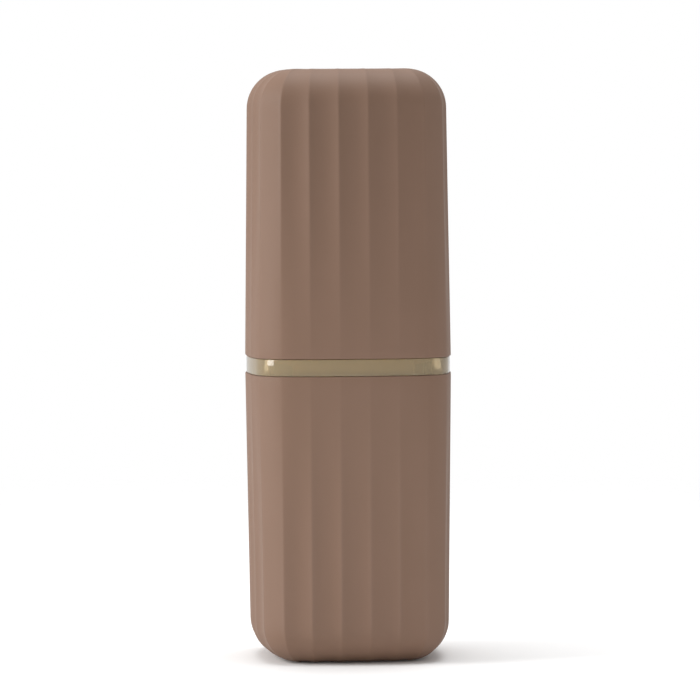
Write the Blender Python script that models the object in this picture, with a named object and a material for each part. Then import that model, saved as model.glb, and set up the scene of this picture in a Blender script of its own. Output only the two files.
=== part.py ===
"""Toothbrush travel case: two fluted cups pushed onto a clear collar.

The case is a tall rounded square. The lower cup and the lid are the same moulding, one standing on
its closed end and one turned over. A clear collar joins them: its band shows between the two rims,
and its spigots reach into both cups, each with a silicone seal in a groove. A divider rests on a
ledge inside the collar and keeps the brushes and the tube of toothpaste upright.
Lengths are in metres, +Z is up, and the origin is at the middle of the base.
"""
import math

import bmesh
import bpy

# Cup, one moulding used twice
CUP_HEIGHT = 0.100
MOUTH_WIDTH = 0.072
END_NARROWING = 0.00125
FACE_CURVE_RADIUS = 0.110
CORNER_RADIUS = 0.016
END_EDGE_RADIUS = 0.0137
CUP_WALL = 0.0022
CUP_FLOOR = 0.0026
INNER_EDGE_RADIUS = 0.010
LIP_ROUND = 0.0004
RECESS_DEPTH = 0.0006

# Flutes of the cup
FLUTES_PER_FACE = 6
COLUMNS_PER_FLUTE = 4
FLUTE_DEPTH = 0.0010
FLUTE_FADE_LENGTH = 0.068
MOUTH_DEPTH_SHARE = 0.18
END_DEPTH_SHARE = 0.25

# Collar
BAND_HEIGHT = 0.0060
BAND_SETBACK = 0.00045
BAND_EDGE_ROUND = 0.0007
SPIGOT_LENGTH = 0.012
SPIGOT_WALL = 0.0020
SPIGOT_CLEARANCE = 0.0006
SPIGOT_CHAMFER = 0.0005
GROOVE_HEIGHT = 0.0026
GROOVE_DEPTH = 0.0009
GROOVE_DISTANCE = 0.0060
LEDGE_WIDTH = 0.0016
LEDGE_THICKNESS = 0.0014
LEDGE_DROP = 0.0005

# Divider
DIVIDER_CLEARANCE = 0.0008
DIVIDER_RING_WALL = 0.0015
DIVIDER_RING_RISE = 0.0030
DRAIN_WIDTH = 0.0092
DRAIN_HEIGHT = 0.0034
PARTITION_THICKNESS = 0.0015
PARTITION_DEPTH = 0.034
PARTITION_DROP = 0.0012
PARTITION_CORNER_RADIUS = 0.006
PARTITION_OFFSET = 0.004

# Gap left between pieces that touch
SEAT_GAP = 0.0003

# Steps of the mesh, and places given as shares of a length or a width
EDGE_STEPS = 5
INNER_EDGE_STEPS = 4
LIP_STEPS = 2
FACE_STEPS = 5
CORNER_STEPS = 7
DIVIDER_CORNER_STEPS = 1
PARTITION_CORNER_STEPS = 4
WALL_ROW_SHARES = (0.28, 0.52, 0.72, 0.88)
RIM_FLAT_SHARE = 0.86
RECESS_TOP_SHARE = 0.37
RECESS_FLOOR_SHARE = 0.355
SEAL_NOSE_SHARE = 0.5
SMOOTH_ANGLE = math.radians(28.0)

# Sizes that follow
HALF_WIDTH = MOUTH_WIDTH / 2.0
SEAM_HEIGHT = CUP_HEIGHT + BAND_HEIGHT / 2.0
CASE_HEIGHT = 2.0 * CUP_HEIGHT + BAND_HEIGHT
END_EDGE = min(END_EDGE_RADIUS, CORNER_RADIUS - END_NARROWING - FLUTE_DEPTH)
INNER_EDGE = min(INNER_EDGE_RADIUS, CORNER_RADIUS - END_NARROWING - CUP_WALL)
SPIGOT_OUTER = CUP_WALL + SPIGOT_CLEARANCE
SPIGOT_INNER = SPIGOT_OUTER + SPIGOT_WALL
BAND_HALF = BAND_HEIGHT / 2.0 - SEAT_GAP
SPIGOT_END = BAND_HALF + SPIGOT_LENGTH
GROOVE_MIDDLE = BAND_HALF + GROOVE_DISTANCE
LEDGE_TOP = -BAND_HALF - LEDGE_DROP
LEDGE_INNER = SPIGOT_INNER + LEDGE_WIDTH
DIVIDER_OUTER = SPIGOT_INNER + DIVIDER_CLEARANCE
DIVIDER_INNER = DIVIDER_OUTER + DIVIDER_RING_WALL
DIVIDER_BOTTOM = LEDGE_TOP + SEAT_GAP
DIVIDER_TOP = BAND_HALF + DIVIDER_RING_RISE


def clear_scene():
    """Remove what the scene holds, so that only this model is in it."""
    for item in list(bpy.data.objects):
        bpy.data.objects.remove(item, do_unlink=True)


def new_collection(name):
    """Make a collection in the scene and return it."""
    collection = bpy.data.collections.new(name)
    bpy.context.scene.collection.children.link(collection)
    return collection


def plastic(name, colour, roughness, transmission=0.0):
    """Return a plastic of one linear colour, clear where transmission is above zero."""
    material = bpy.data.materials.new(name)
    material.use_nodes = True
    shader = material.node_tree.nodes["Principled BSDF"]
    shader.inputs["Base Color"].default_value = (*colour, 1.0)
    shader.inputs["Metallic"].default_value = 0.0
    shader.inputs["Roughness"].default_value = roughness
    shader.inputs["Transmission Weight"].default_value = transmission
    material.diffuse_color = (*colour, 1.0)
    return material


# The outline that every piece follows is a square with bowed faces and round corners at the mouth.
# A face is one long arc and a corner one short arc, and they meet without a kink.

def corner_centre():
    """Distance of a corner arc's centre from both middle planes of the case."""
    lead = FACE_CURVE_RADIUS - HALF_WIDTH
    reach = FACE_CURVE_RADIUS - CORNER_RADIUS
    return (math.sqrt(2.0 * reach ** 2 - lead ** 2) - lead) / 2.0


CORNER_PLACE = corner_centre()
FACE_ANGLE = math.atan2(CORNER_PLACE, CORNER_PLACE + FACE_CURVE_RADIUS - HALF_WIDTH)
CORNER_ANGLE = math.pi / 2.0 - 2.0 * FACE_ANGLE
FACE_LENGTH = 2.0 * FACE_CURVE_RADIUS * FACE_ANGLE
CORNER_LENGTH = CORNER_RADIUS * CORNER_ANGLE
SIDE_LENGTH = FACE_LENGTH + CORNER_LENGTH

# The middle of each face is the bottom of a flute, with a ridge half a flute to each side.
FLUTE_START = SIDE_LENGTH / FLUTES_PER_FACE / 2.0


def outline_place(distance):
    """Place and outward direction at a distance round the outline, from the middle of the +X face."""
    side, along = divmod(distance + SIDE_LENGTH / 2.0, SIDE_LENGTH)
    along -= SIDE_LENGTH / 2.0
    if abs(along) <= FACE_LENGTH / 2.0:
        angle = along / FACE_CURVE_RADIUS
        x = HALF_WIDTH - FACE_CURVE_RADIUS + FACE_CURVE_RADIUS * math.cos(angle)
        y = FACE_CURVE_RADIUS * math.sin(angle)
    else:
        angle = FACE_ANGLE + (abs(along) - FACE_LENGTH / 2.0) / CORNER_RADIUS
        angle = math.copysign(angle, along)
        x = CORNER_PLACE + CORNER_RADIUS * math.cos(angle)
        y = math.copysign(CORNER_PLACE, along) + CORNER_RADIUS * math.sin(angle)
    turn = side * math.pi / 2.0
    cos_turn = math.cos(turn)
    sin_turn = math.sin(turn)
    place = (x * cos_turn - y * sin_turn, x * sin_turn + y * cos_turn)
    return place, (math.cos(angle + turn), math.sin(angle + turn))


def fluted_columns():
    """Columns spread evenly round the case, each with its share of a flute's depth."""
    count = 4 * FLUTES_PER_FACE * COLUMNS_PER_FLUTE
    columns = []
    for index in range(count):
        across = 2.0 * (index % COLUMNS_PER_FLUTE) / COLUMNS_PER_FLUTE - 1.0
        distance = 4.0 * SIDE_LENGTH * (index / count) + FLUTE_START
        columns.append((*outline_place(distance), 1.0 - across ** 2))
    return columns


def plain_columns(corner_steps):
    """Columns for smooth rings: a few along each bowed face, and some round each corner.

    One corner step leaves a corner flat, from the end of one face straight to the next.
    """
    distances = []
    for side in range(4):
        start = side * SIDE_LENGTH - FACE_LENGTH / 2.0
        distances += [start + FACE_LENGTH * step / FACE_STEPS for step in range(FACE_STEPS)]
        start += FACE_LENGTH
        distances += [start + CORNER_LENGTH * step / corner_steps for step in range(corner_steps)]
    return [(*outline_place(distance), 0.0) for distance in distances]


def ring(columns, inset, height, depth=0.0, tilt=0.0, share=1.0):
    """Points of one row: the outline drawn in by inset, with flutes cut along a tilted normal.

    A share below one draws the row in towards the middle, for rows on the flat of an end.
    """
    points = []
    for place, outward, flute in columns:
        side = inset + depth * flute * math.cos(tilt)
        rise = depth * flute * math.sin(tilt)
        x = (place[0] - outward[0] * side) * share
        y = (place[1] - outward[1] * side) * share
        points.append((x, y, height + rise))
    return points


def loft(name, rings, closed):
    """Join rows of equal length into one mesh: a closed tube, or a skin with a cap at each end."""
    build = bmesh.new()
    rows = [[build.verts.new(point) for point in points] for points in rings]
    pairs = list(zip(rows, rows[1:]))
    if closed:
        pairs.append((rows[-1], rows[0]))
    else:
        build.faces.new(reversed(rows[0]))
        build.faces.new(rows[-1])
    for low, high in pairs:
        for index, corner in enumerate(low):
            after = (index + 1) % len(low)
            build.faces.new((corner, low[after], high[after], high[index]))
    mesh = bpy.data.meshes.new(name)
    build.to_mesh(mesh)
    build.free()
    mesh.shade_smooth()
    mesh.set_sharp_from_angle(angle=SMOOTH_ANGLE)
    return mesh


def add_piece(name, mesh, material, collection, parent=None, height=0.0):
    """Put a mesh in the scene as a named piece, at a height above its parent's origin."""
    piece = bpy.data.objects.new(name, mesh)
    if not mesh.materials:
        mesh.materials.append(material)
    collection.objects.link(piece)
    piece.parent = parent
    piece.location = (0.0, 0.0, height)
    return piece


# Cup

def narrowing(height):
    """How far the cup's faces have drawn in at a height above its closed end."""
    return END_NARROWING * (1.0 - height / CUP_HEIGHT)


def flute_depth(height):
    """Depth of the flutes at a height above the closed end: full there, nearly gone at the mouth."""
    along = min((CUP_HEIGHT - height) / FLUTE_FADE_LENGTH, 1.0)
    eased = along * along * (3.0 - 2.0 * along)
    return FLUTE_DEPTH * (MOUTH_DEPTH_SHARE + (1.0 - MOUTH_DEPTH_SHARE) * eased)


def end_rows(columns):
    """The closed end outside: a shallow recess, a flat standing rim, and the round edge."""
    edge_inset = narrowing(END_EDGE) + END_EDGE
    rows = [
        ring(columns, 0.0, RECESS_DEPTH, share=RECESS_FLOOR_SHARE),
        ring(columns, 0.0, 0.0, share=RECESS_TOP_SHARE),
        ring(columns, edge_inset, 0.0, share=RIM_FLAT_SHARE),
    ]
    for step in range(EDGE_STEPS + 1):
        tilt = math.pi / 2.0 * (1.0 - step / EDGE_STEPS)
        inset = edge_inset - END_EDGE * math.cos(tilt)
        height = END_EDGE * (1.0 - math.sin(tilt))
        fading = 1.0 - (1.0 - END_DEPTH_SHARE) * math.sin(tilt)
        rows.append(ring(columns, inset, height, flute_depth(height) * fading, tilt))
    return rows


def wall_rows(columns):
    """The fluted wall outside, up to the start of the lip."""
    top = CUP_HEIGHT - LIP_ROUND
    rows = []
    for share in WALL_ROW_SHARES:
        height = END_EDGE + (top - END_EDGE) * share
        rows.append(ring(columns, narrowing(height), height, flute_depth(height)))
    return rows


def lip_rows(columns):
    """The round lip of the mouth, from the outside over to the inside."""
    base = CUP_HEIGHT - LIP_ROUND
    depth = flute_depth(CUP_HEIGHT)
    rows = []
    for step in range(LIP_STEPS + 1):
        angle = math.pi / 2.0 * step / LIP_STEPS
        inset = LIP_ROUND * (1.0 - math.cos(angle))
        rows.append(ring(columns, inset, base + LIP_ROUND * math.sin(angle), depth))
    rows.append(ring(columns, CUP_WALL - LIP_ROUND, CUP_HEIGHT))
    rows.append(ring(columns, CUP_WALL, base))
    return rows


def inside_rows(columns):
    """The smooth inner wall, down to the round edge of the floor."""
    edge_inset = CUP_WALL + narrowing(CUP_FLOOR) + INNER_EDGE
    rows = []
    for step in range(INNER_EDGE_STEPS + 1):
        angle = math.pi / 2.0 * step / INNER_EDGE_STEPS
        inset = edge_inset - INNER_EDGE * math.cos(angle)
        rows.append(ring(columns, inset, CUP_FLOOR + INNER_EDGE * (1.0 - math.sin(angle))))
    return rows


def make_cup_mesh():
    """The fluted cup, one closed skin from the middle of its end to the middle of its floor."""
    columns = fluted_columns()
    rings = end_rows(columns) + wall_rows(columns) + lip_rows(columns) + inside_rows(columns)
    return loft("fluted_cup", rings, closed=False)


# Collar

def half_spigot_profile():
    """Outer side of one spigot, from its root at the band to its tip, as inset and distance."""
    low = GROOVE_MIDDLE - GROOVE_HEIGHT / 2.0
    high = GROOVE_MIDDLE + GROOVE_HEIGHT / 2.0
    bottom = SPIGOT_OUTER + GROOVE_DEPTH
    return [
        (SPIGOT_OUTER, BAND_HALF),
        (SPIGOT_OUTER, low),
        (bottom, low),
        (bottom, high),
        (SPIGOT_OUTER, high),
        (SPIGOT_OUTER, SPIGOT_END - SPIGOT_CHAMFER),
        (SPIGOT_OUTER + SPIGOT_CHAMFER, SPIGOT_END),
        (SPIGOT_INNER, SPIGOT_END),
    ]


def half_band_profile():
    """Outer face of the band, from the seam up round its edge, as inset and distance."""
    corner = math.cos(math.pi / 4.0) * BAND_EDGE_ROUND
    centre = BAND_SETBACK + BAND_EDGE_ROUND
    base = BAND_HALF - BAND_EDGE_ROUND
    return [
        (BAND_SETBACK, base),
        (centre - corner, base + corner),
        (centre, BAND_HALF),
    ]


def make_collar_mesh():
    """The clear collar: band, two spigots with a seal groove each, and the divider's ledge."""
    upper = half_band_profile() + half_spigot_profile()
    lower = [(inset, -height) for inset, height in reversed(upper)]
    ledge = [
        (SPIGOT_INNER, LEDGE_TOP),
        (LEDGE_INNER, LEDGE_TOP),
        (LEDGE_INNER, LEDGE_TOP - LEDGE_THICKNESS),
        (SPIGOT_INNER, LEDGE_TOP - LEDGE_THICKNESS - LEDGE_WIDTH),
    ]
    columns = plain_columns(CORNER_STEPS)
    rings = [ring(columns, inset, height) for inset, height in lower + upper + ledge]
    return loft("collar", rings, closed=True)


def make_seal_mesh():
    """A silicone seal: a flat band that fills its groove, with a nose towards the cup's wall."""
    depth_in_cup = GROOVE_MIDDLE - BAND_HEIGHT / 2.0
    back = SPIGOT_OUTER + GROOVE_DEPTH - SEAT_GAP
    nose = CUP_WALL + narrowing(CUP_HEIGHT - depth_in_cup) + SEAT_GAP
    half = GROOVE_HEIGHT / 2.0 - SEAT_GAP
    shoulder = max(SPIGOT_OUTER, nose)
    profile = [
        (back, -half),
        (shoulder, -half),
        (nose, -half * SEAL_NOSE_SHARE),
        (nose, half * SEAL_NOSE_SHARE),
        (shoulder, half),
        (back, half),
    ]
    columns = plain_columns(CORNER_STEPS)
    return loft("seal", [ring(columns, inset, height) for inset, height in profile], closed=True)


# Divider

def face_reach(offset, inset):
    """Distance from the middle plane to a bowed face drawn in by inset, off to one side."""
    radius = FACE_CURVE_RADIUS - inset
    return math.sqrt(radius ** 2 - offset ** 2) - (FACE_CURVE_RADIUS - HALF_WIDTH)


def partition_side(offset, top, depth):
    """One upright edge of a partition from its top down, with the foot's round corner."""
    held = face_reach(offset, DIVIDER_INNER - DIVIDER_RING_WALL / 2.0)
    free = face_reach(offset, LEDGE_INNER + SEAT_GAP)
    step = (DIVIDER_BOTTOM + top) / 2.0
    points = [(held, top), (held, step), (free, step)]
    centre = (free - PARTITION_CORNER_RADIUS, PARTITION_CORNER_RADIUS - depth)
    for index in range(PARTITION_CORNER_STEPS + 1):
        angle = -math.pi / 2.0 * index / PARTITION_CORNER_STEPS
        x = centre[0] + PARTITION_CORNER_RADIUS * math.cos(angle)
        points.append((x, centre[1] + PARTITION_CORNER_RADIUS * math.sin(angle)))
    return points


def add_tool(name, mesh, place, turn, collection):
    """Put a solid that a piece is united with, or cut by, in the collection that isn't rendered."""
    tool = bpy.data.objects.new(name, mesh)
    tool.rotation_euler = (0.0, 0.0, turn)
    tool.location = place
    tool.display_type = "WIRE"
    tool.hide_render = True
    collection.objects.link(tool)
    return tool


def make_partition(name, outline, turn, collection):
    """A flat partition of this outline, drawn along the X axis and then turned about its middle."""
    build = bmesh.new()
    half = PARTITION_THICKNESS / 2.0
    face = build.faces.new([build.verts.new((x, -half, z)) for x, z in outline])
    grown = bmesh.ops.extrude_face_region(build, geom=[face])
    moved = [item for item in grown["geom"] if isinstance(item, bmesh.types.BMVert)]
    bmesh.ops.translate(build, vec=(0.0, PARTITION_THICKNESS, 0.0), verts=moved)
    bmesh.ops.recalc_face_normals(build, faces=build.faces)
    mesh = bpy.data.meshes.new(name)
    build.to_mesh(mesh)
    build.free()
    return add_tool(name, mesh, (0.0, PARTITION_OFFSET, SEAM_HEIGHT), turn, collection)


def make_partitions(collection):
    """The long partition across the case, and the short one that parts the two brush bays."""
    top = DIVIDER_TOP - PARTITION_DROP
    side = partition_side(PARTITION_OFFSET, top, PARTITION_DEPTH)
    mirrored = [(-x, z) for x, z in reversed(side)]
    long_plate = make_partition("long_partition", side + mirrored, 0.0, collection)
    top -= PARTITION_DROP
    depth = PARTITION_DEPTH - PARTITION_DROP
    side = [(x + PARTITION_OFFSET, z) for x, z in partition_side(0.0, top, depth)]
    outline = side + [(0.0, -depth), (0.0, top)]
    short_plate = make_partition("short_partition", outline, -math.pi / 2.0, collection)
    return long_plate, short_plate


def make_drain_blocks(collection):
    """Four blocks that cut a window in the foot of the divider's ring, one at each flat corner."""
    build = bmesh.new()
    bmesh.ops.create_cube(build, size=1.0)
    size = (2.0 * DIVIDER_RING_WALL, DRAIN_WIDTH, 2.0 * DRAIN_HEIGHT)
    bmesh.ops.scale(build, vec=size, verts=build.verts)
    mesh = bpy.data.meshes.new("drain_block")
    build.to_mesh(mesh)
    build.free()
    radius = CORNER_RADIUS - (DIVIDER_OUTER + DIVIDER_INNER) / 2.0
    distance = CORNER_PLACE * math.sqrt(2.0) + radius * math.cos(CORNER_ANGLE / 2.0)
    height = SEAM_HEIGHT + DIVIDER_BOTTOM
    blocks = []
    for corner in range(4):
        turn = math.pi / 4.0 + math.pi / 2.0 * corner
        place = (distance * math.cos(turn), distance * math.sin(turn), height)
        blocks.append(add_tool("drain_block", mesh, place, turn, collection))
    return blocks


def combine(piece, tools, operation):
    """Unite other solids with a piece, so that they are one moulding, or cut them out of it."""
    for tool in tools:
        step = piece.modifiers.new(tool.name, "BOOLEAN")
        step.operation = operation
        step.solver = "EXACT"
        step.object = tool


def make_divider_ring_mesh():
    """The divider's frame, a ring that stands on the ledge behind the clear band.

    Its corners are flat and each has a drain window at its foot, so that water runs down past them.
    """
    profile = [
        (DIVIDER_OUTER, DIVIDER_BOTTOM),
        (DIVIDER_OUTER, DIVIDER_TOP),
        (DIVIDER_INNER, DIVIDER_TOP),
        (DIVIDER_INNER, DIVIDER_BOTTOM),
    ]
    columns = plain_columns(DIVIDER_CORNER_STEPS)
    return loft("divider", [ring(columns, inset, height) for inset, height in profile], closed=True)


def build_case():
    """Build every piece, each on the piece that carries it."""
    clear_scene()
    case = new_collection("toothbrush_travel_case")
    cutters = new_collection("cutters")

    mocha = plastic("matte_mocha_plastic", (0.268, 0.176, 0.138), roughness=0.62)
    clear = plastic("clear_plastic", (0.90, 0.86, 0.78), roughness=0.08, transmission=1.0)
    khaki = plastic("khaki_plastic", (0.330, 0.255, 0.155), roughness=0.50)
    silicone = plastic("soft_silicone", (0.55, 0.50, 0.44), roughness=0.70)

    cup_mesh = make_cup_mesh()
    body_cup = add_piece("body_cup", cup_mesh, mocha, case)
    collar = add_piece("clear_collar", make_collar_mesh(), clear, case, body_cup, SEAM_HEIGHT)
    lid_cup = add_piece("lid_cup", cup_mesh, mocha, case, collar, CASE_HEIGHT - SEAM_HEIGHT)
    lid_cup.rotation_euler = (math.pi, 0.0, 0.0)

    seal_mesh = make_seal_mesh()
    add_piece("upper_seal", seal_mesh, silicone, case, collar, GROOVE_MIDDLE)
    add_piece("lower_seal", seal_mesh, silicone, case, collar, -GROOVE_MIDDLE)

    divider = add_piece("divider_insert", make_divider_ring_mesh(), khaki, case, collar)
    combine(divider, make_partitions(cutters), "UNION")
    combine(divider, make_drain_blocks(cutters), "DIFFERENCE")
    bpy.context.view_layer.update()


build_case()
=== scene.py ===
# %% [markdown]
# # A toothbrush travel case on a white board
#
# The object is a closed travel case: a fluted cup below, the same cup turned over as its lid, and a
# clear collar between them that carries two silicone seals and a khaki divider.
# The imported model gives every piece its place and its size. This lesson remakes each piece on that
# frame with finer rows, rounded edges and a finish of its own, and then lights it as the photograph is lit.

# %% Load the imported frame
import math

import bmesh
import bpy
from mathutils import Matrix, Vector


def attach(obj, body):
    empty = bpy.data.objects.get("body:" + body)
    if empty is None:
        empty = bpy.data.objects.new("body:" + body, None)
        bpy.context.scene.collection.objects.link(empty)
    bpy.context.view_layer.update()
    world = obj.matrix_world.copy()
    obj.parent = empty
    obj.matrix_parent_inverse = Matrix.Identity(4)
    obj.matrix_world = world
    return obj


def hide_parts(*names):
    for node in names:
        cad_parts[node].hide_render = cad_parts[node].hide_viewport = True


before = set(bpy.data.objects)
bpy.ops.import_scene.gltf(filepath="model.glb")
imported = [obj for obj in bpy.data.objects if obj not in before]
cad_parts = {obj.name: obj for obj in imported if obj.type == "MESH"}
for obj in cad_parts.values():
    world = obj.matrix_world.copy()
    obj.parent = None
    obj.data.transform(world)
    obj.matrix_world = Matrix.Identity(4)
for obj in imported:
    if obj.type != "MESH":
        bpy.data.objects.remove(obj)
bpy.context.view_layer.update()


# %% [markdown]
# ## The outline that every piece follows
#
# Seen from above, the case is a square with bowed faces and round corners. It could be drawn as a
# superellipse, but a mould maker draws it with two arcs: one long arc for a face and one short arc for
# a corner, which meet without a kink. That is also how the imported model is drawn, so the same two
# arcs are used here, and a point on them is found by its distance round the outline.

# %% Sizes of the case, in metres
CUP_HEIGHT = 0.100
HALF_WIDTH = 0.036
FACE_CURVE_RADIUS = 0.110
CORNER_RADIUS = 0.016
BAND_HEIGHT = 0.0060
SEAM_HEIGHT = CUP_HEIGHT + BAND_HEIGHT / 2.0
CASE_HEIGHT = 2.0 * CUP_HEIGHT + BAND_HEIGHT

lead = FACE_CURVE_RADIUS - HALF_WIDTH
reach = FACE_CURVE_RADIUS - CORNER_RADIUS
CORNER_PLACE = (math.sqrt(2.0 * reach ** 2 - lead ** 2) - lead) / 2.0
FACE_ANGLE = math.atan2(CORNER_PLACE, CORNER_PLACE + lead)
CORNER_ANGLE = math.pi / 2.0 - 2.0 * FACE_ANGLE
FACE_LENGTH = 2.0 * FACE_CURVE_RADIUS * FACE_ANGLE
CORNER_LENGTH = CORNER_RADIUS * CORNER_ANGLE
SIDE_LENGTH = FACE_LENGTH + CORNER_LENGTH
print("distance round the case:", round(4.0 * SIDE_LENGTH, 4))


# %% A place on the outline
def outline_place(distance):
    """Place and outward direction at a distance round the outline, from the middle of the +X face."""
    side, along = divmod(distance + SIDE_LENGTH / 2.0, SIDE_LENGTH)
    along -= SIDE_LENGTH / 2.0
    if abs(along) <= FACE_LENGTH / 2.0:
        angle = along / FACE_CURVE_RADIUS
        place = Vector((HALF_WIDTH - FACE_CURVE_RADIUS, 0.0, 0.0))
        radius = FACE_CURVE_RADIUS
    else:
        angle = FACE_ANGLE + (abs(along) - FACE_LENGTH / 2.0) / CORNER_RADIUS
        angle = math.copysign(angle, along)
        place = Vector((CORNER_PLACE, math.copysign(CORNER_PLACE, along), 0.0))
        radius = CORNER_RADIUS
    outward = Vector((math.cos(angle), math.sin(angle), 0.0))
    turn = Matrix.Rotation(side * math.pi / 2.0, 3, "Z")
    return turn @ (place + outward * radius), turn @ outward


print("middle of the +X face:", [round(value, 4) for value in outline_place(0.0)[0]])

# %% [markdown]
# ## Flutes
#
# The cups carry 24 flutes, shallow hollows side by side with a narrow ridge between them. In the
# photograph a ridge is a crisp line between a lit flank and a shaded one, but a moulded ridge is never
# a knife edge. So each flute is a parabola across, and over the last bit on each side it turns into a
# small round crest. The columns of the mesh crowd together at the crest, where the surface turns most.
# The flute that runs over each corner is shallower: there the photograph shows one broad, even facet.

# %% Columns of the fluted skin
FLUTES_PER_SIDE = 6
FLUTE_COUNT = 4 * FLUTES_PER_SIDE
FLUTE_PITCH = 4.0 * SIDE_LENGTH / FLUTE_COUNT
CORNER_FLUTE_SHARE = 0.5
CREST_WIDTH = 0.075
CREST_REACH = 0.3
COLUMN_PLACES = (0.0, 0.036, 0.075, 0.15, 0.30, 0.52, 0.76, 1.0, 1.24, 1.48, 1.70, 1.85, 1.925, 1.964)


def flute_share(from_crest):
    """Share of a flute's depth at a place across it: 0 and 2 are crests, 1 is the flute's bottom."""
    across = min(from_crest, 2.0 - from_crest)
    if across < CREST_WIDTH:
        return CREST_WIDTH + (1.0 - CREST_WIDTH) / CREST_WIDTH * across ** 2
    return 1.0 - (1.0 - across) ** 2


def fluted_columns():
    """Columns round the case: place, outward direction, share of the flute's depth, nearness to a crest."""
    columns = []
    for flute in range(FLUTE_COUNT):
        at_corner = (flute + 1) % FLUTES_PER_SIDE == FLUTES_PER_SIDE // 2
        share_of_depth = CORNER_FLUTE_SHARE if at_corner else 1.0
        for place in COLUMN_PLACES:
            distance = FLUTE_PITCH * (flute + 0.5 + place / 2.0)
            share = CREST_WIDTH + (flute_share(place) - CREST_WIDTH) * share_of_depth
            near = max(0.0, 1.0 - min(place, 2.0 - place) / CREST_REACH)
            columns.append((*outline_place(distance), share, near))
    return columns


FLUTED = fluted_columns()
print("columns of the fluted skin:", len(FLUTED), "pitch in mm:", round(FLUTE_PITCH * 1000.0, 2))


# %% Columns of a smooth skin
def smooth_columns(face_steps, corner_steps):
    """Columns for rings without flutes. One corner step leaves the corner flat."""
    columns = []
    for side in range(4):
        start = side * SIDE_LENGTH - FACE_LENGTH / 2.0
        places = [start + FACE_LENGTH * step / face_steps for step in range(face_steps)]
        start += FACE_LENGTH
        places += [start + CORNER_LENGTH * step / corner_steps for step in range(corner_steps)]
        columns += [(*outline_place(place), 0.0, 0.0) for place in places]
    return columns


SMOOTH = smooth_columns(face_steps=14, corner_steps=20)
print("columns of a smooth ring:", len(SMOOTH))

# %% [markdown]
# ## From rows to a skin
#
# Each hollow piece is a stack of rows that follow the outline. By hand one would add a circle, extrude
# it row after row and pull every row into shape, and that is what these helpers do: Blender's circle
# is laid on the first row, and each extruded copy is laid on the next. An attribute keeps the column
# number of every vertex, because an extruded vertex takes over the number of the one that it came from.

# %% Rows and skins
WELD_DISTANCE = 0.000001


def row(columns, inset, height, depth=0.0, tilt=0.0, share=1.0):
    """One row of points: the outline drawn in by inset, with flutes cut along a tilted normal."""
    points = []
    for place, outward, flute, _ in columns:
        flat = (place - outward * (inset + depth * flute * math.cos(tilt))) * share
        points.append(Vector((flat.x, flat.y, height + depth * flute * math.sin(tilt))))
    return points


def lay_row(piece, points):
    """Move the selected vertices, one in each column, onto these points."""
    mesh = bmesh.from_edit_mesh(piece.data)
    column = mesh.verts.layers.int["column"]
    for corner in mesh.verts:
        if corner.select:
            corner.co = points[corner[column]]
    bmesh.update_edit_mesh(piece.data)


def make_skin(name, rows, ring):
    """Extrude a circle row by row. A ring's last row meets its first; another skin is capped."""
    bpy.ops.object.select_all(action="DESELECT")
    bpy.ops.mesh.primitive_circle_add(vertices=len(rows[0]), radius=HALF_WIDTH, fill_type="NOTHING")
    piece = bpy.context.object
    piece.name = name
    piece.data.name = name
    column = piece.data.attributes.new("column", "INT", "POINT")
    column.data.foreach_set("value", range(len(rows[0])))
    bpy.ops.object.mode_set(mode="EDIT")
    bpy.ops.mesh.select_all(action="SELECT")
    lay_row(piece, rows[0])
    for points in rows[1:]:
        bpy.ops.mesh.extrude_region_move()
        lay_row(piece, points)
    bpy.ops.mesh.select_all(action="SELECT")
    if ring:
        bpy.ops.mesh.remove_doubles(threshold=WELD_DISTANCE)
    else:
        bpy.ops.mesh.fill_holes(sides=0)
    bpy.ops.mesh.select_all(action="SELECT")
    bpy.ops.mesh.normals_make_consistent(inside=False)
    bpy.ops.object.mode_set(mode="OBJECT")
    return piece


# %% Finishing a piece
SHARP_ANGLE = 30.0


def round_edges(piece, width, segments):
    """Round every edge that is sharper than the sharp angle, as a moulded piece has them."""
    bevel = piece.modifiers.new("rounding", "BEVEL")
    bevel.width = width
    bevel.segments = segments
    bevel.limit_method = "ANGLE"
    bevel.angle_limit = math.radians(SHARP_ANGLE)
    bevel.use_clamp_overlap = True
    bevel.harden_normals = False
    bpy.ops.object.modifier_apply(modifier=bevel.name)


def smooth_shading(piece, angle):
    """Shade smoothly across edges flatter than this angle, and say how large the piece is."""
    bpy.ops.object.select_all(action="DESELECT")
    piece.select_set(True)
    bpy.context.view_layer.objects.active = piece
    bpy.ops.object.shade_smooth_by_angle(angle=math.radians(angle))
    count = sum(len(face.vertices) - 2 for face in piece.data.polygons)
    print(piece.name, "has", count, "triangles")


# %% [markdown]
# ## The cup
#
# A cup is one injection moulding. Its wall draws in slightly towards the closed end so that it leaves
# the mould. The flutes are deepest along the closed half, run over the round edge onto the end, and
# fade almost to nothing at the mouth, where the rim has to meet the collar. The end has a shallow
# recess round the gate mark, so that the case stands on a flat rim. The inside is smooth.

# %% Shape of the cup
END_NARROWING = 0.00125
END_EDGE = 0.0137
CUP_WALL = 0.0022
CUP_FLOOR = 0.0026
INNER_EDGE = 0.010
LIP_ROUND = 0.0004
RECESS_DEPTH = 0.0006
RECESS_ROUND = 0.00006
GATE_DEPTH = 0.00025
GATE_SHOULDER = 0.00018
GATE_SHARES = (0.012, 0.026, 0.030, 0.034)
RECESS_SHARES = (0.15, 0.348, 0.353)
RIM_SHARES = (0.367, 0.373, 0.80)
INNER_FLOOR_SHARES = (0.5, 0.05)
EDGE_STEPS = 16
WALL_STEPS = 24
LIP_STEPS = 4
INNER_EDGE_STEPS = 10
FLUTE_DEPTH = 0.0010
FLUTE_FADE_LENGTH = 0.068
MOUTH_DEPTH_SHARE = 0.18
END_DEPTH_SHARE = 0.25


def narrowing(height):
    """How far the cup's faces have drawn in at a height above its closed end."""
    return END_NARROWING * (1.0 - height / CUP_HEIGHT)


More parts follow.
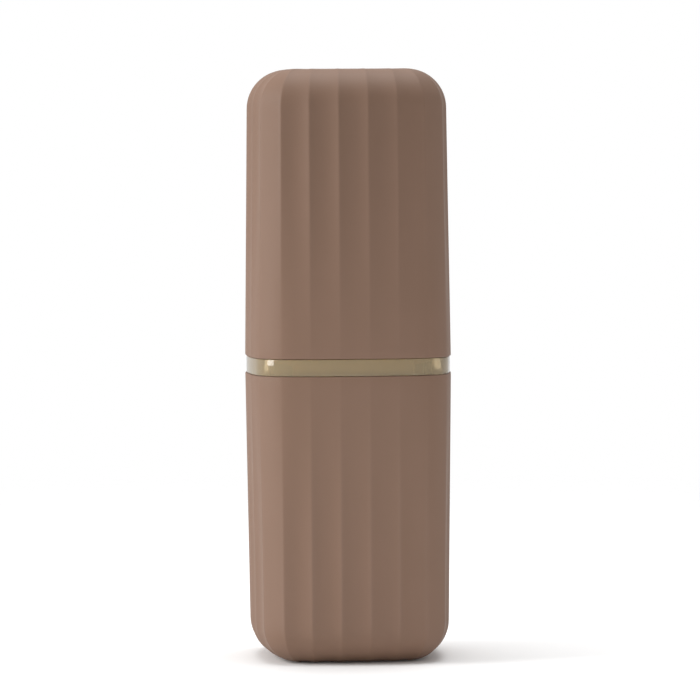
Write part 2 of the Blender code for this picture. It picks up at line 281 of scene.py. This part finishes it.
def flute_depth(height):
    """Depth of the flutes at a height above the closed end."""
    along = min((CUP_HEIGHT - height) / FLUTE_FADE_LENGTH, 1.0)
    eased = along * along * (3.0 - 2.0 * along)
    return FLUTE_DEPTH * (MOUTH_DEPTH_SHARE + (1.0 - MOUTH_DEPTH_SHARE) * eased)


for height in (0.02, 0.06, CUP_HEIGHT):
    print("flute depth at", height, "m:", round(flute_depth(height) * 1000.0, 3), "mm")


# %% Rows of the cup, from the middle of its end to the middle of its floor
def end_rows():
    """The gate mark, the recess with its rounded step, and the flat rim that the case stands on."""
    return [
        row(FLUTED, 0.0, RECESS_DEPTH - GATE_DEPTH, share=GATE_SHARES[0]),
        row(FLUTED, 0.0, RECESS_DEPTH - GATE_DEPTH, share=GATE_SHARES[1]),
        row(FLUTED, 0.0, RECESS_DEPTH - GATE_SHOULDER, share=GATE_SHARES[2]),
        row(FLUTED, 0.0, RECESS_DEPTH, share=GATE_SHARES[3]),
        row(FLUTED, 0.0, RECESS_DEPTH, share=RECESS_SHARES[0]),
        row(FLUTED, 0.0, RECESS_DEPTH, share=RECESS_SHARES[1]),
        row(FLUTED, 0.0, RECESS_DEPTH - RECESS_ROUND, share=RECESS_SHARES[2]),
        row(FLUTED, 0.0, RECESS_ROUND, share=RIM_SHARES[0]),
        row(FLUTED, 0.0, 0.0, share=RIM_SHARES[1]),
        row(FLUTED, narrowing(END_EDGE) + END_EDGE, 0.0, share=RIM_SHARES[2]),
    ]


def wall_rows():
    """The round edge of the end, and the fluted wall up to the lip."""
    rows = []
    for step in range(EDGE_STEPS + 1):
        tilt = math.pi / 2.0 * (1.0 - step / EDGE_STEPS)
        height = END_EDGE * (1.0 - math.sin(tilt))
        inset = narrowing(END_EDGE) + END_EDGE * (1.0 - math.cos(tilt))
        fading = 1.0 - (1.0 - END_DEPTH_SHARE) * math.sin(tilt)
        rows.append(row(FLUTED, inset, height, flute_depth(height) * fading, tilt))
    for step in range(1, WALL_STEPS):
        height = END_EDGE + (CUP_HEIGHT - LIP_ROUND - END_EDGE) * step / WALL_STEPS
        rows.append(row(FLUTED, narrowing(height), height, flute_depth(height)))
    return rows


def mouth_and_inside_rows():
    """The round lip, the smooth inner wall, and the round edge of the floor."""
    rows = []
    base = CUP_HEIGHT - LIP_ROUND
    for step in range(LIP_STEPS + 1):
        angle = math.pi / 2.0 * step / LIP_STEPS
        inset = LIP_ROUND * (1.0 - math.cos(angle))
        rows.append(row(FLUTED, inset, base + LIP_ROUND * math.sin(angle), flute_depth(CUP_HEIGHT)))
    for step in range(LIP_STEPS + 1):
        angle = math.pi / 2.0 * step / LIP_STEPS
        inset = CUP_WALL - LIP_ROUND * (1.0 - math.sin(angle))
        rows.append(row(FLUTED, inset, base + LIP_ROUND * math.cos(angle)))
    edge_inset = CUP_WALL + narrowing(CUP_FLOOR) + INNER_EDGE
    for step in range(INNER_EDGE_STEPS + 1):
        angle = math.pi / 2.0 * step / INNER_EDGE_STEPS
        inset = edge_inset - INNER_EDGE * math.cos(angle)
        rows.append(row(FLUTED, inset, CUP_FLOOR + INNER_EDGE * (1.0 - math.sin(angle))))
    rows += [row(FLUTED, edge_inset, CUP_FLOOR, share=share) for share in INNER_FLOOR_SHARES]
    return rows


# %% Make the lower cup
POLISH_REACH = 0.7 * CUP_WALL
body_cup = make_skin("case_body", end_rows() + wall_rows() + mouth_and_inside_rows(), ring=False)


def mark_crests(piece):
    """Keep, for each vertex of the fluted wall, how near it is to a crest, times the depth there."""
    count = len(piece.data.vertices)
    column = [0] * count
    piece.data.attributes["column"].data.foreach_get("value", column)
    crest = piece.data.attributes.new("crest", "FLOAT", "POINT")
    values = []
    for index, corner in enumerate(piece.data.vertices):
        place, _, _, near = FLUTED[column[index]]
        drawn_in = math.dist(corner.co.xy, place.xy) - narrowing(corner.co.z)
        depth = flute_depth(min(corner.co.z, CUP_HEIGHT)) / FLUTE_DEPTH
        values.append(near * depth * max(0.0, 1.0 - drawn_in / POLISH_REACH))
    crest.data.foreach_set("value", values)


mark_crests(body_cup)
smooth_shading(body_cup, 32.0)

# %% [markdown]
# ## The lid
#
# The lid comes out of the same mould as the lower cup. So it isn't modelled again: the finished cup is
# copied, turned over about the X axis and lifted to its place, and then its place is applied.

# %% Copy the cup and turn it over
bpy.ops.object.select_all(action="DESELECT")
body_cup.select_set(True)
bpy.context.view_layer.objects.active = body_cup
bpy.ops.object.duplicate(linked=False)
lid_cup = bpy.context.object
lid_cup.name = "case_lid"
lid_cup.data.name = "case_lid"
bpy.ops.transform.rotate(value=math.pi, orient_axis="X", center_override=(0.0, 0.0, 0.0))
bpy.ops.transform.translate(value=(0.0, 0.0, CASE_HEIGHT))
bpy.ops.object.transform_apply(location=True, rotation=True, scale=True)
print("lid from", round(min(v.co.z for v in lid_cup.data.vertices), 4),
      "to", round(max(v.co.z for v in lid_cup.data.vertices), 4))

# %% [markdown]
# ## The clear collar
#
# The collar is a moulded ring of clear plastic: a thick band that shows at the seam, a thin spigot up and
# down from it with a groove for a seal, and a ledge inside that carries the divider. Its half section is
# listed as inset and height, mirrored about the seam, and extruded as one closed ring. Real clear plastic
# has small radii everywhere, and those radii catch the light, so every sharp edge is rounded.

# %% Section of the collar
SEAT_GAP = 0.0003
BAND_SETBACK = 0.00045
BAND_EDGE_ROUND = 0.0003
BAND_HALF = BAND_HEIGHT / 2.0 - SEAT_GAP
BAND_EDGE_GAP = 0.0001
BAND_FACE = BAND_HEIGHT / 2.0 - BAND_EDGE_GAP
BAND_EDGE_STEPS = 6
SPIGOT_CLEARANCE = 0.0006
SPIGOT_WALL = 0.0020
SPIGOT_LENGTH = 0.012
SPIGOT_CHAMFER = 0.0005
SPIGOT_OUTER = CUP_WALL + SPIGOT_CLEARANCE
SPIGOT_INNER = SPIGOT_OUTER + SPIGOT_WALL
SPIGOT_END = BAND_HALF + SPIGOT_LENGTH
GROOVE_FROM_BAND = 0.0060
GROOVE_MIDDLE = BAND_HALF + GROOVE_FROM_BAND
GROOVE_HALF = 0.0013
GROOVE_DEPTH = 0.0009
LEDGE_DROP = 0.0005
LEDGE_WIDTH = 0.0016
LEDGE_TOP = -BAND_HALF - LEDGE_DROP
LEDGE_INNER = SPIGOT_INNER + LEDGE_WIDTH
LEDGE_THICKNESS = 0.0014


def collar_section():
    """The collar's section as inset and height from the seam, once round."""
    half = []
    for step in range(BAND_EDGE_STEPS + 1):
        angle = math.pi / 2.0 * step / BAND_EDGE_STEPS
        half.append((BAND_SETBACK + BAND_EDGE_ROUND * (1.0 - math.cos(angle)),
                     BAND_FACE - BAND_EDGE_ROUND * (1.0 - math.sin(angle))))
    half += [
        (SPIGOT_OUTER, BAND_FACE),
        (SPIGOT_OUTER, GROOVE_MIDDLE - GROOVE_HALF),
        (SPIGOT_OUTER + GROOVE_DEPTH, GROOVE_MIDDLE - GROOVE_HALF),
        (SPIGOT_OUTER + GROOVE_DEPTH, GROOVE_MIDDLE + GROOVE_HALF),
        (SPIGOT_OUTER, GROOVE_MIDDLE + GROOVE_HALF),
        (SPIGOT_OUTER, SPIGOT_END - SPIGOT_CHAMFER),
        (SPIGOT_OUTER + SPIGOT_CHAMFER, SPIGOT_END),
        (SPIGOT_INNER, SPIGOT_END),
    ]
    ledge = [
        (SPIGOT_INNER, LEDGE_TOP),
        (LEDGE_INNER, LEDGE_TOP),
        (LEDGE_INNER, LEDGE_TOP - LEDGE_THICKNESS),
        (SPIGOT_INNER, LEDGE_TOP - LEDGE_THICKNESS - LEDGE_WIDTH),
    ]
    return [(inset, -height) for inset, height in reversed(half)] + half + ledge


def make_ring(name, columns, section, middle):
    """Extrude a section, given as inset and height, into a closed ring at this height."""
    rows = [row(columns, inset, middle + height) for inset, height in section]
    return make_skin(name, rows + [rows[0]], ring=True)


collar = make_ring("clear_ring", SMOOTH, collar_section(), SEAM_HEIGHT)
round_edges(collar, width=0.00012, segments=2)
smooth_shading(collar, 40.0)

# %% [markdown]
# ## The seals
#
# Each seal is a soft silicone band in the groove of a spigot, with a blunt nose towards the cup. The
# upper and the lower one are the same piece, so one is modelled and copied. They stand clear of the
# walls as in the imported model, which leaves their squeeze out.

# %% Make both seals
NOSE_STEPS = 8
LEAST_NOSE = 0.0001


def seal_section():
    """The seal's section: a flat back in the groove, and a round nose towards the cup's wall."""
    nose = CUP_WALL + narrowing(CUP_HEIGHT - GROOVE_MIDDLE + BAND_HEIGHT / 2.0) + SEAT_GAP
    back = SPIGOT_OUTER + GROOVE_DEPTH - SEAT_GAP
    half = GROOVE_HALF - SEAT_GAP
    shoulder = max(SPIGOT_OUTER, nose + LEAST_NOSE)
    arc = []
    for step in range(NOSE_STEPS + 1):
        angle = math.pi * (step / NOSE_STEPS - 0.5)
        arc.append((shoulder - (shoulder - nose) * math.cos(angle), half * math.sin(angle)))
    return [(back, -half)] + arc + [(back, half)]


lower_seal = make_ring("lower_seal_ring", SMOOTH, seal_section(), SEAM_HEIGHT - GROOVE_MIDDLE)
smooth_shading(lower_seal, 50.0)
bpy.ops.object.duplicate(linked=False)
upper_seal = bpy.context.object
upper_seal.name = "upper_seal_ring"
upper_seal.data.name = "upper_seal_ring"
bpy.ops.transform.translate(value=(0.0, 0.0, 2.0 * GROOVE_MIDDLE))
bpy.ops.object.transform_apply(location=True, rotation=True, scale=True)
print("seals at", SEAM_HEIGHT - GROOVE_MIDDLE, "and", SEAM_HEIGHT + GROOVE_MIDDLE)

# %% [markdown]
# ## The divider
#
# The divider is a second moulding, khaki, that drops onto the collar's ledge. Its frame stands right
# behind the clear band and gives the seam its colour. The frame's corners are flat, with a low window
# in each for water to drain. Two thin partitions hang from the frame. The frame is extruded as a ring,
# the partitions are flat plates with round feet, and one Boolean after another makes them a single
# piece before its edges are rounded.

# %% Sizes of the divider
RING_CLEARANCE = 0.0008
RING_RISE = 0.0030
RING_OUTER = SPIGOT_INNER + RING_CLEARANCE
RING_WALL = 0.0015
RING_INNER = RING_OUTER + RING_WALL
RING_BOTTOM = LEDGE_TOP + SEAT_GAP
RING_TOP = BAND_HALF + RING_RISE
PLATE_THICKNESS = 0.0015
PLATE_DEPTH = 0.034
PLATE_DROP = 0.0012
FOOT_RADIUS = 0.006
FOOT_STEPS = 12
PLATE_OFFSET = 0.004
WINDOW_WIDTH = 0.0092
WINDOW_HEIGHT = 0.0034
OVERLAP = 0.001


def face_reach(offset, inset):
    """Distance from the middle plane to a bowed face drawn in by inset, off to one side."""
    return math.sqrt((FACE_CURVE_RADIUS - inset) ** 2 - offset ** 2) - (FACE_CURVE_RADIUS - HALF_WIDTH)


print("divider ring from", round(SEAM_HEIGHT + RING_BOTTOM, 4), "to", round(SEAM_HEIGHT + RING_TOP, 4))


# %% A plate from a Blender plane
def make_plate(name, low, high, turn, shift, feet):
    """Stand a plane up, fit it to two corners (x, z), round these feet, and give it its thickness."""
    bpy.ops.object.select_all(action="DESELECT")
    bpy.ops.mesh.primitive_plane_add(size=1.0, location=(0.0, 0.0, 0.0))
    plate = bpy.context.object
    plate.name = name
    bpy.ops.transform.resize(value=(high[0] - low[0], high[1] - low[1], 1.0))
    bpy.ops.object.transform_apply(location=True, rotation=True, scale=True)
    plate.rotation_euler = (math.pi / 2.0, 0.0, 0.0)
    plate.location = ((low[0] + high[0]) / 2.0, PLATE_THICKNESS / 2.0, (low[1] + high[1]) / 2.0)
    bpy.ops.object.transform_apply(location=True, rotation=True, scale=True)
    bpy.ops.object.mode_set(mode="EDIT")
    bpy.ops.mesh.select_all(action="DESELECT")
    mesh = bmesh.from_edit_mesh(plate.data)
    for corner in mesh.verts:
        is_low = corner.co.z < low[1] + OVERLAP
        corner.select_set(is_low and any(abs(corner.co.x - foot) < OVERLAP for foot in feet))
    bmesh.update_edit_mesh(plate.data)
    bpy.ops.mesh.bevel(offset=FOOT_RADIUS, segments=FOOT_STEPS, affect="VERTICES")
    bpy.ops.mesh.select_all(action="SELECT")
    bpy.ops.mesh.extrude_region_move(TRANSFORM_OT_translate={"value": (0.0, -PLATE_THICKNESS, 0.0)})
    bpy.ops.mesh.select_all(action="SELECT")
    bpy.ops.mesh.normals_make_consistent(inside=False)
    bpy.ops.object.mode_set(mode="OBJECT")
    bpy.ops.transform.rotate(value=-turn, orient_axis="Z", center_override=(0.0, 0.0, 0.0))
    bpy.ops.transform.translate(value=shift)
    bpy.ops.object.transform_apply(location=True, rotation=True, scale=True)
    return plate


def combine(piece, other, operation):
    """Apply one exact Boolean to a piece, and remove the other object."""
    step = piece.modifiers.new("combine", "BOOLEAN")
    step.operation = operation
    step.solver = "EXACT"
    step.object = other
    bpy.ops.object.select_all(action="DESELECT")
    piece.select_set(True)
    bpy.context.view_layer.objects.active = piece
    bpy.ops.object.modifier_apply(modifier=step.name)
    bpy.data.objects.remove(other, do_unlink=True)


# %% The frame and its plates
FLAT_CORNERED = smooth_columns(face_steps=10, corner_steps=1)
section = [
    (RING_OUTER, RING_BOTTOM),
    (RING_OUTER, RING_TOP),
    (RING_INNER, RING_TOP),
    (RING_INNER, RING_BOTTOM),
]
divider = make_ring("divider_tray", FLAT_CORNERED, section, SEAM_HEIGHT)

held = face_reach(PLATE_OFFSET, RING_INNER - RING_WALL / 2.0)
free = face_reach(PLATE_OFFSET, LEDGE_INNER + SEAT_GAP)
top = RING_TOP - PLATE_DROP
step_height = (RING_BOTTOM + top) / 2.0
place = (0.0, PLATE_OFFSET, SEAM_HEIGHT)
parts = [
    make_plate("long_plate_top", (-held, step_height - OVERLAP), (held, top), 0.0, place, ()),
    make_plate("long_plate", (-free, -PLATE_DEPTH), (free, step_height), 0.0, place, (-free, free)),
]
held = face_reach(0.0, RING_INNER - RING_WALL / 2.0) + PLATE_OFFSET
free = face_reach(0.0, LEDGE_INNER + SEAT_GAP) + PLATE_OFFSET
top -= PLATE_DROP
step_height = (RING_BOTTOM + top) / 2.0
depth = PLATE_DEPTH - PLATE_DROP
parts += [
    make_plate("short_plate_top", (0.0, step_height - OVERLAP), (held, top), -math.pi / 2.0, place, ()),
    make_plate("short_plate", (0.0, -depth), (free, step_height), -math.pi / 2.0, place, (free,)),
]
for plate in parts:
    combine(divider, plate, "UNION")
print("divider with its plates:", len(divider.data.polygons), "faces")

# %% Drain windows in the flat corners
flat_reach = (CORNER_RADIUS - RING_OUTER) * math.cos(CORNER_ANGLE / 2.0)
middle = CORNER_PLACE * math.sqrt(2.0) + flat_reach - RING_WALL / 2.0
for quarter in range(4):
    turn = -math.pi / 4.0 * (1 + 2 * quarter)
    bpy.ops.object.select_all(action="DESELECT")
    bpy.ops.mesh.primitive_cube_add(size=1.0, location=(0.0, 0.0, 0.0))
    cutter = bpy.context.object
    bpy.ops.transform.resize(value=(2.0 * RING_WALL, WINDOW_WIDTH, 2.0 * WINDOW_HEIGHT))
    bpy.ops.transform.translate(value=(middle, 0.0, SEAM_HEIGHT + RING_BOTTOM))
    bpy.ops.transform.rotate(value=turn, orient_axis="Z", center_override=(0.0, 0.0, 0.0))
    bpy.ops.object.transform_apply(location=True, rotation=True, scale=True)
    combine(divider, cutter, "DIFFERENCE")
round_edges(divider, width=0.0002, segments=2)
smooth_shading(divider, 35.0)

# %% [markdown]
# ## Colours and nodes
#
# Colours are given as sRGB hex values, the way a paint or plastic sample is read off, and one function
# turns them into the linear values that the shader wants. One more function adds a node with its
# settings, its values and its links, so that a finish reads as a short recipe.

# %% Two helpers for materials
def linear(code, alpha=1.0):
    """Turn an sRGB hex code into linear red, green, blue and alpha."""
    parts = [int(code[start:start + 2], 16) / 255.0 for start in (0, 2, 4)]
    values = [part / 12.92 if part <= 0.04045 else ((part + 0.055) / 1.055) ** 2.4 for part in parts]
    return (*values, alpha)


def add_node(tree, kind, values=None, links=None, **settings):
    """Add a node, set its options and the values of its sockets, and link sockets to other nodes."""
    node = tree.nodes.new("ShaderNode" + kind)
    for name, value in settings.items():
        setattr(node, name, value)
    for socket, value in (values or {}).items():
        node.inputs[socket].default_value = value
    for socket, source in (links or {}).items():
        tree.links.new(source, node.inputs[socket])
    return node


def new_finish(name, **values):
    """A material with its shader's own sockets set; returns it with its tree and its shader."""
    material = bpy.data.materials.new(name)
    material.use_nodes = True
    shader = material.node_tree.nodes["Principled BSDF"]
    for socket, value in values.items():
        shader.inputs[socket.replace("_", " ")].default_value = value
    return material, material.node_tree, shader


print("mocha in linear light:", [round(value, 3) for value in linear("795D4C")])

# %% [markdown]
# ## Matte mocha polypropylene
#
# The cups are polypropylene, coloured through and moulded in a spark-eroded mould. Spark erosion leaves
# a fine even grain of about 0.05 mm, which spreads every highlight into a soft veil. At the size of the
# picture that grain is under a pixel, so it is drawn at 0.22 mm, the coarsest that still reads as
# matte. Hands polish the crests of the flutes first, so the roughness drops a little there.

# %% Finish of the cups
GRAIN_SIZE = 0.00022
TONE_SIZE = 0.022
cup_finish, tree, shader = new_finish("matte_polypropylene", Roughness=0.62, IOR=1.49)
coordinates = add_node(tree, "TexCoord")
grain = add_node(tree, "TexNoise", {"Scale": 1.0 / GRAIN_SIZE, "Detail": 2.0, "Roughness": 0.6},
                 {"Vector": coordinates.outputs["Object"]})
bump = add_node(tree, "Bump", {"Strength": 0.35, "Distance": 0.00004}, {"Height": grain.outputs["Fac"]})
tone = add_node(tree, "TexNoise", {"Scale": 1.0 / TONE_SIZE, "Detail": 3.0},
                {"Vector": coordinates.outputs["Object"]})
colour = add_node(tree, "Mix", links={"Factor": tone.outputs["Fac"]}, data_type="RGBA")
colour.inputs[6].default_value = linear("755A48")
colour.inputs[7].default_value = linear("795D4C")
crest = add_node(tree, "Attribute", attribute_name="crest")
polish = add_node(tree, "MapRange", {"From Min": 0.0, "From Max": 1.0, "To Min": 0.64, "To Max": 0.52},
                  {"Value": crest.outputs["Fac"]})
tree.links.new(colour.outputs[2], shader.inputs["Base Color"])
tree.links.new(polish.outputs["Result"], shader.inputs["Roughness"])
tree.links.new(bump.outputs["Normal"], shader.inputs["Normal"])
print(cup_finish.name, "has", len(tree.nodes), "nodes")

# %% [markdown]
# ## Clear copolyester
#
# The collar is a polished clear copolyester with a sand tint. About a third of the light is scattered
# by a fine haze in it, and the rest goes through to the khaki frame right behind. So the band looks like
# milky honey in front and paler at its ends. Its mould is polished, so its skin mirrors the soft boxes,
# with a slight long waviness where the melt flowed.

# %% Finish of the collar
FLOW_SIZE = 0.006
clear_finish, tree, shader = new_finish("clear_copolyester", Base_Color=linear("CFBA94"), Roughness=0.06,
                                        IOR=1.50, Transmission_Weight=0.68)
coordinates = add_node(tree, "TexCoord")
flow = add_node(tree, "TexNoise", {"Scale": 1.0 / FLOW_SIZE, "Detail": 1.0},
                {"Vector": coordinates.outputs["Object"]})
wave = add_node(tree, "Bump", {"Strength": 0.10, "Distance": 0.00005}, {"Height": flow.outputs["Fac"]})
tree.links.new(wave.outputs["Normal"], shader.inputs["Normal"])
print(clear_finish.name, "has", len(tree.nodes), "nodes")

# %% [markdown]
# ## Silicone
#
# The seals are translucent silicone. Light goes a little way in and comes out softened, and the skin is
# dull and slightly tacky, so fine dust dims it in patches.

# %% Finish of the seals
DUST_SIZE = 0.0012
seal_finish, tree, shader = new_finish("translucent_silicone", Base_Color=linear("CBC3B8"), Roughness=0.5,
                                       IOR=1.41, Subsurface_Weight=0.6, Subsurface_Scale=0.0015)
coordinates = add_node(tree, "TexCoord")
dust = add_node(tree, "TexNoise", {"Scale": 1.0 / DUST_SIZE, "Detail": 3.0},
                {"Vector": coordinates.outputs["Object"]})
dull = add_node(tree, "MapRange", {"To Min": 0.42, "To Max": 0.62}, {"Value": dust.outputs["Fac"]})
tree.links.new(dull.outputs["Result"], shader.inputs["Roughness"])
print(seal_finish.name, "has", len(tree.nodes), "nodes")

# %% [markdown]
# ## Khaki polypropylene
#
# The divider is polypropylene too, but from a smoother mould than the cups, with a satin skin and a
# lighter, yellower brown. Its grain is finer and its tone varies a little where the melt cooled.

# %% Finish of the divider
SATIN_SIZE = 0.00030
divider_finish, tree, shader = new_finish("satin_khaki_polypropylene", Roughness=0.42, IOR=1.49)
coordinates = add_node(tree, "TexCoord")
satin = add_node(tree, "TexNoise", {"Scale": 1.0 / SATIN_SIZE, "Detail": 2.0},
                 {"Vector": coordinates.outputs["Object"]})
bump = add_node(tree, "Bump", {"Strength": 0.20, "Distance": 0.00003}, {"Height": satin.outputs["Fac"]})
tone = add_node(tree, "TexNoise", {"Scale": 1.0 / TONE_SIZE, "Detail": 2.0},
                {"Vector": coordinates.outputs["Object"]})
colour = add_node(tree, "Mix", links={"Factor": tone.outputs["Fac"]}, data_type="RGBA")
colour.inputs[6].default_value = linear("BFA67E")
colour.inputs[7].default_value = linear("C6AD85")
tree.links.new(colour.outputs[2], shader.inputs["Base Color"])
tree.links.new(bump.outputs["Normal"], shader.inputs["Normal"])
print(divider_finish.name, "has", len(tree.nodes), "nodes")

# %% [markdown]
# ## Putting the pieces on the frame
#
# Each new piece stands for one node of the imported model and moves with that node's body. It also names
# the slot that the record keeps for its material.

# %% Dress every node
DRESSING = [
    (body_cup, "body_cup", "body", "cup_plastic", cup_finish),
    (lid_cup, "lid_cup", "lid", "cup_plastic", cup_finish),
    (collar, "clear_collar", "collar", "collar_plastic", clear_finish),
    (upper_seal, "upper_seal", "collar", "seal_silicone", seal_finish),
    (lower_seal, "lower_seal", "collar", "seal_silicone", seal_finish),
    (divider, "divider_insert", "divider", "divider_plastic", divider_finish),
]
for piece, node, body, slot, finish in DRESSING:
    piece.data.materials.clear()
    piece.data.materials.append(finish)
    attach(piece, body)
    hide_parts(node)
    print(piece.name, "stands for", node)

# %% [markdown]
# ## The white board and the room
#
# The photograph has no edge between floor and background: both are a lit white, and only a faint shadow
# lies to the right. So the case stands on a matte white board that fades out towards its rim, and what
# the camera sees beyond is white. The room itself is darker than that, and darkest in front of the case,
# because that is what the shading of the flutes asks for.

# %% The board
BOARD_RADIUS = 1.6
BOARD_DROP = 0.00005
FADE_START = 0.30
FADE_END = 0.85
bpy.ops.object.select_all(action="DESELECT")
bpy.ops.mesh.primitive_circle_add(vertices=128, radius=BOARD_RADIUS, fill_type="NGON",
                                  location=(0.0, 0.0, -BOARD_DROP))
floor = bpy.context.object
floor.name = "white_floor"
bpy.ops.object.transform_apply(location=True, rotation=True, scale=True)
floor_finish, tree, shader = new_finish("matte_white_board", Base_Color=linear("F6F6F6"), Roughness=0.9)
coordinates = add_node(tree, "TexCoord")
tooth = add_node(tree, "TexNoise", {"Scale": 600.0, "Detail": 2.0},
                 {"Vector": coordinates.outputs["Object"]})
bump = add_node(tree, "Bump", {"Strength": 0.05, "Distance": 0.0002}, {"Height": tooth.outputs["Fac"]})
tree.links.new(bump.outputs["Normal"], shader.inputs["Normal"])
radius = add_node(tree, "VectorMath", links={0: coordinates.outputs["Object"]}, operation="LENGTH")
fade = add_node(tree, "MapRange",
                {"From Min": FADE_START, "From Max": FADE_END, "To Min": 1.0, "To Max": 0.0},
                {"Value": radius.outputs["Value"]}, interpolation_type="SMOOTHSTEP")
tree.links.new(fade.outputs["Result"], shader.inputs["Alpha"])
floor.data.materials.append(floor_finish)
print("board radius:", BOARD_RADIUS)

# %% The room
ROOM_FRONT = 0.53
ROOM_BACK = 0.78
world = bpy.data.worlds.new("white_room")
bpy.context.scene.world = world
world.use_nodes = True
tree = world.node_tree
room = tree.nodes["Background"]
coordinates = add_node(tree, "TexCoord")
parts = add_node(tree, "SeparateXYZ", links={"Vector": coordinates.outputs["Generated"]})
depth = add_node(tree, "MapRange",
                 {"From Min": -0.3, "From Max": 0.5, "To Min": ROOM_FRONT, "To Max": ROOM_BACK},
                 {"Value": parts.outputs["Y"]})
tree.links.new(depth.outputs["Result"], room.inputs["Strength"])
room.inputs["Color"].default_value = (1.0, 1.0, 1.0, 1.0)
seen = add_node(tree, "Background", {"Color": (1.0, 1.0, 1.0, 1.0), "Strength": 1.0})
path = add_node(tree, "LightPath")
mix = add_node(tree, "MixShader", links={0: path.outputs["Is Camera Ray"], 1: room.outputs["Background"],
                                         2: seen.outputs["Background"]})
tree.links.new(mix.outputs["Shader"], tree.nodes["World Output"].inputs["Surface"])
bpy.context.scene.view_settings.view_transform = "Standard"
bpy.context.scene.view_settings.look = "None"
print("room strength from", ROOM_FRONT, "to", ROOM_BACK)

# %% [markdown]
# ## Light
#
# The left corner of the case is bright, the flutes lose the light quickly towards the right, the round
# shoulder is lit from above, and the front is a little lighter near the board than at the top. So a tall
# soft box stands to the left, so far round that it only grazes the front. Another one hangs overhead and
# a little behind. A low one stands on the board in front and faces the case, so the camera has only its
# back, which gives no light and doesn't show. The white board fills from below.


# %% Soft boxes
def soft_box(name, place, target, width, height, power):
    """Hang a rectangular white soft box at a place, facing a target."""
    light = bpy.data.lights.new(name, "AREA")
    light.shape = "RECTANGLE"
    light.size = width
    light.size_y = height
    light.energy = power
    box = bpy.data.objects.new(name, light)
    bpy.context.scene.collection.objects.link(box)
    direction = Vector(target) - Vector(place)
    box.matrix_world = Matrix.Translation(place) @ direction.to_track_quat("-Z", "Y").to_matrix().to_4x4()
    print(name, "gives", power, "watts")
    return box


CASE_MIDDLE = (0.0, 0.0, 0.10)
CASE_FOOT = (0.0, 0.0, 0.02)
soft_box("key_box", place=(-1.05, -0.14, 0.50), target=CASE_MIDDLE, width=0.42, height=0.90, power=10.2)
soft_box("overhead_box", place=(0.05, 0.12, 1.25), target=CASE_MIDDLE, width=0.80, height=0.80, power=9.6)
soft_box("low_card", place=(0.05, -0.30, 0.02), target=CASE_FOOT, width=0.30, height=0.04, power=0.14)

# %% [markdown]
# ## Camera
#
# The camera stands about a metre and a half away, a little above the seam and a little to the left of
# the front, and looks slightly down. It was set so that the rims, the corners and the ridges of the
# flutes fall where the photograph has them. The picture is taken as 700 by 700 pixels.

# %% Set the camera
CAMERA_DISTANCE = 1.5
CAMERA_HEIGHT = 0.17719
CAMERA_TURN = 0.07277
CAMERA_AIM = 0.00053
CAMERA_PITCH = 0.0464
CAMERA_ROLL = -0.00634
FOCAL_PIXELS = 4269.16
PICTURE_WIDTH = 700.0

heading = CAMERA_TURN + CAMERA_AIM
forward = Vector((math.sin(heading) * math.cos(CAMERA_PITCH), math.cos(heading) * math.cos(CAMERA_PITCH),
                  -math.sin(CAMERA_PITCH)))
level = Vector((math.cos(heading), -math.sin(heading), 0.0))
upright = level.cross(forward)
right = level * math.cos(CAMERA_ROLL) + upright * math.sin(CAMERA_ROLL)
up = upright * math.cos(CAMERA_ROLL) - level * math.sin(CAMERA_ROLL)
eye = Vector((-CAMERA_DISTANCE * math.sin(CAMERA_TURN), -CAMERA_DISTANCE * math.cos(CAMERA_TURN),
              CAMERA_HEIGHT))

lens = bpy.data.cameras.new("photo_camera")
lens.sensor_width = 36.0
lens.sensor_fit = "HORIZONTAL"
lens.lens = FOCAL_PIXELS * lens.sensor_width / PICTURE_WIDTH
lens.clip_start = 0.01
lens.clip_end = 100.0
camera = bpy.data.objects.new("photo_camera", lens)
bpy.context.scene.collection.objects.link(camera)
axes = Matrix((right, up, -forward)).transposed().to_4x4()
camera.matrix_world = Matrix.Translation(eye) @ axes
bpy.context.scene.camera = camera
print("lens in mm:", round(lens.lens, 1))
